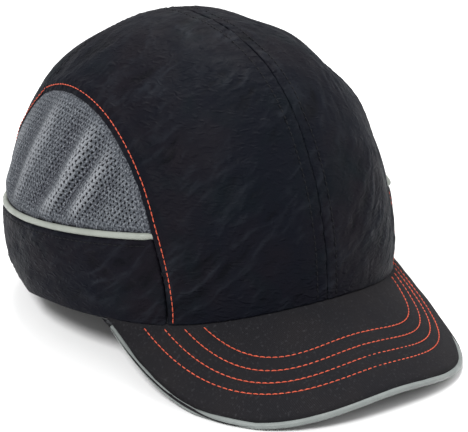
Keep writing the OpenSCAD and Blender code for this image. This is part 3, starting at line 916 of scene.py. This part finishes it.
def mesh_inside(p):
    """How far inside the panel's cut edges a point is, in mm: front seam, rear seam and piping."""
    seam = np.abs(p[..., 0]) - SEAM_X * (1 + SEAM_BOW * ease((p[..., 2] - WIDEST_Z) / 50))
    back = lerp(-REAR_HEADING, APEX_HEADING, (p[..., 2] / APEX[2]) ** 2)
    rear = (heading(p) - back) * 1.75
    line = p[..., 2] - PIPING_Z + PIPING_FALL * p[..., 1] - PIPING_R + 0.6
    ahead = np.where(p[..., 1] < -20, seam, np.where(p[..., 2] > 100, seam, 9.0))
    return np.minimum(np.minimum(ahead, rear) + MESH_UNDER, line)


# place along the side, width and height of each fold
FOLDS = ((24, 6, 0.5), (34, 4.5, -1.3), (43, 3.8, 1.8), (51, 3.8, -1.8), (60.5, 5, 2.0),
         (73, 6, -1.8), (84, 4, -0.5), (94, 6, 1.5), (108, 7, -1.3), (124, 8, 1.2))


def mesh_relief(u, v, seed):
    """Slack folds that run up and forward from the piping, as the knit hangs over the shell."""
    lean = u - 0.0068 * (84 - v) ** 2
    folds = 0 * u
    for centre, width, rise in FOLDS:
        wander = 1.1 * np.sin(v / 15 + seed + centre) + 0.6 * np.sin(v / 6.5 + centre)
        folds = folds + rise * bell(lean - centre, wander, width)
    return folds


def pull_inside(u, v):
    """The nearest point of the panel to a point just outside it."""
    turn = np.radians(np.arange(0, 360, 15.0))
    for reach in np.arange(0.15, PITCH_ALONG * 2, 0.2):
        us, vs = u + reach * np.cos(turn), v + reach * np.sin(turn)
        depth = mesh_inside(mesh_point(us, vs))
        if depth.max() >= 0:
            k = int(np.argmax(depth))
            return us[k], vs[k]
    return u, v


# a cell is kept if it reaches this far inside the cut edge, and is closed nearer to it than this
CELL_KEPT, CELL_PLAIN = 0.4, 3.4


def knit_lattice():
    """Points and faces of the knit, in the panel's own coordinates, with a slanted slit in each cell."""
    corner = [(0, 0), (1, 0), (2, 0), (2, 1), (2, 2), (1, 2), (0, 2), (0, 1)]
    turns = [math.radians(225 + 45 * k) for k in range(8)]
    slit = [(1 + 0.38 * math.cos(t) - 0.24 * math.sin(t), 1 + 0.66 * math.sin(t)) for t in turns]
    columns, rows = int(MESH_RUN[-1] / PITCH_ALONG), int(125 / PITCH_UP)
    half = np.array([PITCH_ALONG / 2, PITCH_UP / 2])

    i, j = np.meshgrid(np.arange(2 * columns + 1), np.arange(2 * rows + 1), indexing="ij")
    # every other row is set over by half a cell
    u = (i + np.where((j // 2) % 2 == 1, 1.0, 0.0)) * half[0]
    depth = mesh_inside(mesh_point(u, j * half[1]))
    points, faces, known = [], [], {}

    def vertex(a, b, over):
        key = (a + over, b)
        if key not in known:
            known[key] = len(points)
            at = np.array(key) * half
            inside = mesh_inside(mesh_point(at[:1], at[1:]))[0] > 0
            points.append(tuple(at) if inside else pull_inside(*at))
        return known[key]

    for row in range(rows):
        over = row % 2
        for column in range(columns):
            cell = depth[2 * column:2 * column + 3, 2 * row:2 * row + 2]
            if cell.max() < CELL_KEPT:
                continue
            ring = [vertex(2 * column + dx, 2 * row + dy, over) for dx, dy in corner]
            if cell.min() < CELL_PLAIN:
                faces.append(tuple(ring))
                continue
            start = len(points)
            points += [((2 * column + over + dx) * half[0], (2 * row + dy) * half[1]) for dx, dy in slit]
            faces += [(ring[k], ring[(k + 1) % 8], start + (k + 1) % 8, start + k) for k in range(8)]
    return np.array(points), faces


def build_mesh_panel(side, flip):
    seed = 3 if flip > 0 else 9
    uv, faces = KNIT
    p = mesh_point(uv[:, 0], uv[:, 1])
    depth = mesh_inside(p)
    calm = ease(depth / 12)
    rise = (mesh_relief(uv[:, 0], uv[:, 1], seed) + 0.3 * field(p, 16, seed, 2)) * calm
    p = (p + outward(p) * (rise - 0.55 - 0.8 * (1 - ease(depth / 3.5)))[:, None]) * [flip, 1, 1]
    SKINS.append(p[depth > 0.5])
    obj = new_object(f"mesh_panel_{side}", p, faces, uv=uv)
    # the fold heights go to the material for painted highlight and shade; within 3 mm of the cut edges they
    # are pushed low, painting shade where the knit tucks under its seams
    shade_by(obj, rise - 2.0 * (1 - ease(depth / 3.0)))
    solidify = obj.modifiers.new("cloth", "SOLIDIFY")
    solidify.thickness, solidify.offset = 0.5 * MM, 0
    dress(obj, "mesh_cloth")


KNIT = knit_lattice()
for side_name, flip_x in SIDES:
    build_mesh_panel(side_name, flip_x)

# ---- piping and threads ----


def line_headings():
    front = at_plane(-SEAM_X, seam_at_line(-SEAM_X))
    return float(heading(rear_seam(rear_line_z()))), float(heading(front))


def piping_piece(name, path, up_of, radius, slot, seed):
    """Covered cord, slightly uneven; up_of gives the way out of the cloth at each point."""
    path = resample(path, int(path_length(path) / 1.1))
    ups = up_of(path)
    wobble = 0.10 * field(path, 14, seed, 2)
    radii = radius * (1 + 0.05 * field(path, 8, seed + 1, 2))
    body = tube_parts(path + ups * wobble[:, None], radii, ups, 14)
    dress(join_parts(name, [body]), slot)


h_rear, h_front = line_headings()
side_path = side_line(np.linspace(h_rear - 0.2, h_front + 0.2, 220), 0.0, -0.1)
# both ends dip into the seams that hold them
to_end = np.minimum(*(np.linalg.norm(side_path - side_path[k], axis=1) for k in (0, -1)))
side_path = side_path - outward(side_path) * (2.3 * (1 - ease(to_end / 5.5)))[:, None]
for side_name, flip_x in SIDES:
    piping_piece(f"side_piping_{side_name}", side_path * [flip_x, 1, 1], outward, PIPING_R,
                 "reflective_piping", 5 + flip_x)

SKIN_TREE = tree_of(np.concatenate(SKINS))


def thread_piece(name, paths, slot, lift=0.28):
    parts = []
    for path in paths:
        path = settle(resample(path, max(4, int(path_length(path) / 1.4))), SKIN_TREE)
        parts += stitch_parts(path, outward(path), lift)
    dress(join_parts(name, parts), slot)


INSET = 2.1
seam_plane = -SEAM_X + INSET
climb = plane_path(seam_plane, seam_foot(seam_plane) + 0.4, seam_at_y(seam_plane, APEX_Y - 0.5), 200)
descend = rear_seam(np.linspace(APEX[2] + 0.3, 1.5, 140), -1.3)
for side_name, flip_x in SIDES:
    thread_piece(f"side_seam_thread_{side_name}", [np.concatenate([climb, descend]) * [flip_x, 1, 1]],
                 "coloured_thread")
    top_row = side_line(np.linspace(h_rear + 1.5, h_front - 1.5, 200), -PIPING_R - 3.0) * [flip_x, 1, 1]
    thread_piece(f"band_topstitch_{side_name}", [top_row], "black_thread", 0.18)


def centre_row(x):
    foot = rim(math.degrees(math.asin(x / HALF_W)), 1.0)
    a0 = math.degrees(math.atan2(foot[2] - WIDEST_Z, -foot[1]))
    back = angle_where(x, lambda p: ARCH_H + 4 - p[..., 2], 100, 179)
    return [plane_path(x, a0, seam_at_y(x, CROSS_Y - 1), 200),
            plane_path(x, seam_at_y(x, CROSS_Y + 1), back, 100)]


thread_piece("centre_seam_thread", centre_row(-5.5) + centre_row(5.5), "black_thread", 0.15)
cross_rows = [cross_seam(np.linspace(0.05, 0.93, 80), shift) for shift in (-3, 3)]
thread_piece("cross_seam_thread", cross_rows + [flipped(r) for r in cross_rows], "black_thread", 0.15)

# ---- brim ----

ROW_INSETS = (13.5, 19.3, 25.2, 31.3)
ROW_SQUARES, ROW_WIDE = (2.6, 2.82, 3.04, 3.26), 3.5


def brim_grid(inset, up, nu=180, nv=60, out=87.5):
    t = np.linspace(-out, out, nu + 1)
    h = np.linspace(-BRIM_HEADING, BRIM_HEADING, nu + 1)
    ex, ey = brim_plan(t, inset)
    root = at_height(h, np.maximum(rim_z(h), WIDEST_Z), -1.2)
    v = steps(nv)[:, None]
    x, y = lerp(ex[None], root[None, :, 0], v), lerp(ey[None], root[None, :, 1], v)
    return np.stack([x, y, brim_mid(x, y) + up], -1)


def brim_normals(grid, side):
    x = grid[..., 0]
    n = np.stack([2 * BRIM_ARCH * x, np.full_like(x, -BRIM_FALL), np.ones_like(x)], -1)
    return side * unit(n)


def brim_row(k, up):
    t = np.linspace(-88, 88, 260)
    x, y = brim_plan(t, ROW_INSETS[k], ROW_SQUARES[k], ROW_WIDE)
    path = np.stack([x, y, brim_mid(x, y) + up], -1)
    outside = swell(path * [1, 1, 0] + [0, 0, WIDEST_Z]) > 1.006
    return path[outside]


def brim_cover(name, side):
    grid = brim_grid(1.5, side * BRIM_T / 2)
    first, last, low, high = edge_runs(grid)
    grooves = np.zeros(grid.shape[:2])
    for k in range(len(ROW_INSETS)):
        tree = tree_of(brim_row(k, side * BRIM_T / 2))
        away = np.array([tree.find(Vector(p))[2] for p in grid.reshape(-1, 3)]).reshape(grid.shape[:2])
        grooves += 0.34 * bell(away, 0, 0.9)
    relief = 0.14 * field(grid, 9, 71 + side, 3) + 0.22 * field(grid, 30, 73 + side, 2) - grooves
    relief += seam_sink(low, 1.25, 2.4) + 0.12
    skin = grid + brim_normals(grid, side) * relief[..., None]
    inner = skin - brim_normals(grid, side) * 0.7
    obj = slab_mesh(name, skin, inner)
    dress(obj, "brim_cloth")


brim_cover("brim_top_cover", 1)
brim_cover("brim_under_cover", -1)

edge_t = np.linspace(-88.4, 88.4, 300)
edge_x, edge_y = brim_plan(edge_t, BRIM_PIPING_R)
# at the sides the cord turns under the cover's edge
turned = ease((np.abs(edge_x) - 52) / 26)[:, None]
edge_path = np.stack([edge_x, edge_y, brim_mid(edge_x, edge_y) - 0.15], -1)
edge_path = edge_path - turned * np.stack([0.8 * np.sign(edge_x), 0 * edge_x, 0 * edge_x + 1.4], -1)
edge_path[:, 2] = np.maximum(edge_path[:, 2], BRIM_PIPING_R)
piping_piece("brim_piping", edge_path, lambda path: brim_normals(path, 1), BRIM_PIPING_R - 0.2,
             "brim_piping_cloth", 81)

brim_rows = []
for k in range(len(ROW_INSETS)):
    row = resample(brim_row(k, BRIM_T / 2), 150)
    brim_rows += stitch_parts(row, brim_normals(row, 1), 0.05, radius=0.27)
dress(join_parts("brim_thread_rows", brim_rows), "coloured_thread")

# ---- sweatband, binding and straps ----


def sweatband_piece():
    ni, nj = 320, 36
    h = np.linspace(-SWEATBAND_HEADING, SWEATBAND_HEADING, ni + 1)
    rows, backs = [], []
    for v in steps(nj):
        lean = -1.3 - 4.9 * ease(v * 4)
        p = at_height(h, rim_z(h) + 1.0 + v * SWEATBAND_H, lean)
        plump = 0.5 * math.sin(math.pi * float(np.clip((v - 0.12) / 0.88, 0, 1))) ** 0.5
        q = at_height(h, rim_z(h) + 1.0 + v * SWEATBAND_H, lean - 1.4 - plump)
        rows.append(p)
        backs.append(q)
    outer, inner = np.stack(rows), np.stack(backs)
    first, _, low, _ = edge_runs(outer)
    relief = 0.18 * field(inner, 8, 91, 3) + 0.12 * np.sin(first / 2.1) * np.exp(-low / 5)
    inner += normals(outer) * relief[..., None]
    obj = slab_mesh("sweatband", outer, inner)
    dress(obj, "sweatband_cloth")


sweatband_piece()


def binding_piece():
    """Folded tape round the opening's edge: a flattened tube."""
    half_arch = arch(np.linspace(88, 2, 90))
    path = resample(np.concatenate([half_arch, flipped(half_arch)[::-1]]), 150)
    out = outward(path)
    path = path + out * (-CLOTH_T / 2 + 0.1)
    away = unit(np.cross(np.gradient(path, axis=0), out))
    tube = tube_parts(path, 1.15 + 0.06 * field(path, 6, 13, 2), away, 12, 1.5)
    dress(join_parts("opening_binding", [tube]), "binding_cloth")


binding_piece()


def strap_point(x, v, d):
    """Point of the back at x and at share v of the strap's height, d outside the crown."""
    h = -180 - np.degrees(np.arcsin(x / HALF_W / 0.97))
    return lerp(at_height(h, STRAP_Z + 0 * x, d), at_height(h, STRAP_Z + STRAP_W + 0 * x, d), v)


UNDER_D, HOOK_PAD_D, LOOP_PAD_D, WEBBING_T = -1.8, 1.1, -0.6, 1.2
HOOK_STRAP_D = HOOK_PAD_D + WEBBING_T + 0.1
STRAP_END_X = -33.0


def hook_d(x):
    return lerp(UNDER_D, HOOK_STRAP_D, ease((STRAP_PIVOT_X - 1 - x) / 9))


def strap_piece(name, x0, x1, depth, thickness, slot, body="cap", margin=0.0, round_end=False, ribs=True,
                nodes=None):
    """Flat webbing round the back, with raised selvedges and a slight wave."""
    nx, nv = max(12, int((x1 - x0) / 0.8)), 22
    x = np.linspace(x1, x0, nx + 1)
    rows = []
    for v in steps(nv):
        a = x
        if round_end:
            # the free end is rounded: its corners stop short of the middle
            cut = 6.0 * (1 - math.sqrt(max(0.0, 1 - (2 * abs(v - 0.5)) ** 4)))
            a = x + np.maximum(0.0, (x0 + cut) - x)
        d = depth(a) if callable(depth) else depth
        rows.append(strap_point(a, margin + (1 - 2 * margin) * v, d))
    face = np.stack(rows)
    out = normals(face)
    v = steps(nv)[:, None]
    edge = np.minimum(v, 1 - v) * STRAP_W
    relief = -0.25 * (1 - ease(edge / 0.7)) + (0.10 * bell(edge, 1.6, 0.5) if ribs else 0)
    relief = relief + 0.10 * field(face, 9, 17, 2)
    front = face + out * relief[..., None]
    back = face - out * (thickness - 0.25 * (1 - ease(edge / 0.7)))[..., None]
    obj = slab_mesh(name, front, back)
    return dress(obj, slot, body, nodes)


hook = strap_piece("hook_strap", STRAP_END_X, 57, hook_d, WEBBING_T, "webbing", None, round_end=True,
                   nodes=["hook_strap", "strap_anchor"])
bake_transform(hook)
strap_piece("loop_strap", -57, 16, UNDER_D, WEBBING_T, "webbing")
for pad, x0, x1, pad_d, pad_body in (("hook_pad", STRAP_END_X + 2, 8, HOOK_PAD_D, "strap"),
                                     ("loop_pad", -34, 14, LOOP_PAD_D, "cap")):
    strap_piece(pad, x0, x1, pad_d, 1.1, "hook_and_loop", pad_body, 0.05, ribs=False)

# a box of stitches at each end of the lapped straps
box_rows = []
for x0 in (-51.0, 46.0):
    box_rows += [strap_point(x0 + 5 * steps(8), v, 0.0) for v in (0.14, 0.86)]
    up = lerp(0.14, 0.86, steps(12))[:, None]
    box_rows += [strap_point(x + 0 * steps(12), up, 0.0) for x in (x0, x0 + 5)]
thread_piece("strap_thread", box_rows, "black_thread", 0.2)

# ---- protective shell and pads ----


def shell_rim_z(h):
    c = np.cos(np.radians(h))
    return 40 + 15 * ease((c - 0.3) / 0.5) + 30 * ease((-c - 0.55) / 0.35)


# where the crown plate starts, and half the gap between plates in degrees and as a share
CROWN_SHARE, PLATE_GAP, PLATE_SHARE = 0.6, 0.2, 0.004


def shell_at(h, share, d):
    foot = at_height(h, shell_rim_z(h), d)
    reach = np.linalg.norm(foot[..., :2], axis=-1)
    e = lerp(np.arctan2(foot[..., 2] - WIDEST_Z, reach), math.radians(86), share)
    plan = foot[..., :2] / reach[..., None] * np.cos(e)[..., None] * 100
    return onto(np.concatenate([plan, (WIDEST_Z + np.sin(e) * 100)[..., None]], -1), d)


def shell_plate(name, h0, h1, n, low, high, rows, vent, domed=False):
    """One moulded plate with soft edges and rounded slots."""
    h = np.linspace(h0, h1, n + 1)[: n if domed else n + 1]
    h, share = np.meshgrid(h, np.linspace(low, high, rows + 1))
    j, i = np.meshgrid(np.arange(rows), np.arange(n), indexing="ij")
    poles = [onto(np.array([0, -0.001, CROWN_H]), d) for d in (SHELL_D, SHELL_D - SHELL_T)] if domed else None
    obj = slab_mesh(name, shell_at(h, share, SHELL_D), shell_at(h, share, SHELL_D - SHELL_T), domed,
                    None if vent is None else ~vent(i, j), poles)
    smooth = obj.modifiers.new("smooth", "SUBSURF")
    smooth.levels = smooth.render_levels = 2
    dress(obj, "shell_plastic")


def wall_vent(i, j):
    return (j >= 3) & (j <= 4) & (i % 3 == 1)


for side, h0, h1, n, vent in (("front", -50, 50, 12, wall_vent), ("rear", 130, 230, 12, wall_vent),
                              ("left", 50, 130, 9, None), ("right", 230, 310, 9, None)):
    shell_plate(f"bump_shell_{side}", h0 + PLATE_GAP, h1 - PLATE_GAP, n, 0, CROWN_SHARE - PLATE_SHARE, 6,
                vent)
shell_plate("bump_shell_crown", 0, 360, 40, CROWN_SHARE + PLATE_SHARE, 1, 4,
            lambda i, j: (j == 1) & (i % 4 == 0), True)


def trim_piece():
    """Soft edging round the shell's rim."""
    n, sides, radius = 240, 12, 1.75
    h = 360 * np.arange(n) / n
    rings = []
    for s in range(sides):
        a = 2 * math.pi * s / sides
        depth = SHELL_D - SHELL_T / 2 + radius * math.cos(a)
        rings.append(at_height(h, shell_rim_z(h) - radius + 1.45 * math.sin(a), depth))
    obj = new_object("shell_edge_trim", np.stack(rings, 1).reshape(-1, 3), ring_faces(n, sides, True))
    face_outwards(obj)
    dress(obj, "shell_trim")


trim_piece()


def pad_piece(name, outer, thickness=PAD_T):
    """Crowned foam pad: flat against the shell, full in the middle, pinched at its sewn edge."""
    edge = np.minimum.reduce(edge_runs(outer))
    full = np.sqrt(np.clip(1 - (1 - np.clip(edge / 7, 0, 1)) ** 2, 0, 1))
    groove = 1.3 * bell(edge, 9.5, 0.9)
    depth = PAD_EDGE_T + (thickness - PAD_EDGE_T) * full - groove + 0.2 * field(outer, 10, 27, 2) * full
    obj = slab_mesh(name, outer, outer - normals(outer) * depth[..., None])
    dress(obj, "pad_foam")


def wall_grid(h0, h1, z0, z1, nu=90, nv=40):
    u, v = np.meshgrid(steps(nu), steps(nv))
    # rounded corners: the ends draw in towards the pad's middle height
    squeeze = 1 - 0.16 * np.abs(2 * v - 1) ** 4
    lift = 1 - 0.22 * np.abs(2 * u - 1) ** 4
    h = (h0 + h1) / 2 + (h1 - h0) * (u - 0.5) * squeeze
    z = (z0 + z1) / 2 + (z1 - z0) * (v - 0.5) * lift
    return at_height(h, z, PAD_D)


def crown_grid(n=70):
    u, v = np.meshgrid(2 * steps(n) - 1, 2 * steps(n) - 1)
    x = 46 * u * np.sqrt(1 - v * v / 2)
    y = 52 * v * np.sqrt(1 - u * u / 2) - 4
    return onto(np.stack([x, y, np.full_like(x, CROWN_H)], -1), PAD_D)


pad_piece("crown_pad", crown_grid())
pad_piece("front_pad", wall_grid(-38, 38, 76, 106))
pad_piece("rear_pad", wall_grid(146, 214, 80, 108))
pad_piece("side_pad_left", wall_grid(72, 116, 65, 98))
pad_piece("side_pad_right", flipped(wall_grid(72, 116, 65, 98)))

# ---- CAD pieces that keep their shape ----

for node, slot in (("seam_tape_centre", "lining_tape"), ("seam_tape_cross", "lining_tape"),
                   ("brim_board", "brim_stiffener")):
    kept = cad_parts[node]
    kept.data.materials.clear()
    kept.data.materials.append(LOOKS[slot])

# ---- studio ----


def studio():
    bpy.ops.mesh.primitive_plane_add(size=6, location=(0, 0, -0.0002))
    floor = bpy.context.object
    floor.name = "floor"
    pale = Look("pale_floor", (0.86, 0.86, 0.86), 0.9)
    pale.tint(pale.noise(400, 2), 0.3, 0.7, (0.84, 0.84, 0.845), 0, 0.3)
    floor.data.materials.append(pale.mat)
    world = bpy.data.worlds.new("studio")
    world.use_nodes = True
    world.node_tree.nodes["Background"].inputs[0].default_value = (1, 1, 1, 1)
    world.node_tree.nodes["Background"].inputs[1].default_value = 0.7
    bpy.context.scene.world = world

    def area(name, place, size, power):
        light = bpy.data.lights.new(name, "AREA")
        light.shape, light.size, light.energy = "DISK", size, power
        lamp = bpy.data.objects.new(name, light)
        lamp.location = place
        lamp.rotation_euler = (Vector((0, -0.02, 0.07)) - Vector(place)).to_track_quat("-Z", "Y").to_euler()
        bpy.context.scene.collection.objects.link(lamp)

    area("key", (-1.2, -0.8, 1.5), 0.6, 42)
    area("fill", (1.2, -0.7, 0.9), 1.2, 12)
    area("top", (0.3, 0.5, 1.5), 0.8, 18)


def camera():
    """The viewing angle: in front of the wearer's right side and a little above."""
    azimuth, elevation = math.radians(-33.32), math.radians(19.45)
    distance, focal_px, width_px = 660.8, 1255.4, 468
    target = Vector((11.62, -20.94, 47.09))
    level = math.cos(elevation)
    back = Vector((math.sin(azimuth) * level, -math.cos(azimuth) * level, math.sin(elevation)))
    data = bpy.data.cameras.new("camera")
    data.sensor_width = 36
    data.lens = focal_px * data.sensor_width / width_px
    data.clip_start = 0.01
    cam = bpy.data.objects.new("camera", data)
    cam.location = (target + distance * back) * MM
    cam.rotation_euler = (-back).to_track_quat("-Z", "Y").to_euler()
    bpy.context.scene.collection.objects.link(cam)
    bpy.context.scene.camera = cam


studio()
camera()
bpy.context.scene.view_settings.view_transform = "Standard"

bpy.context.view_layer.update()
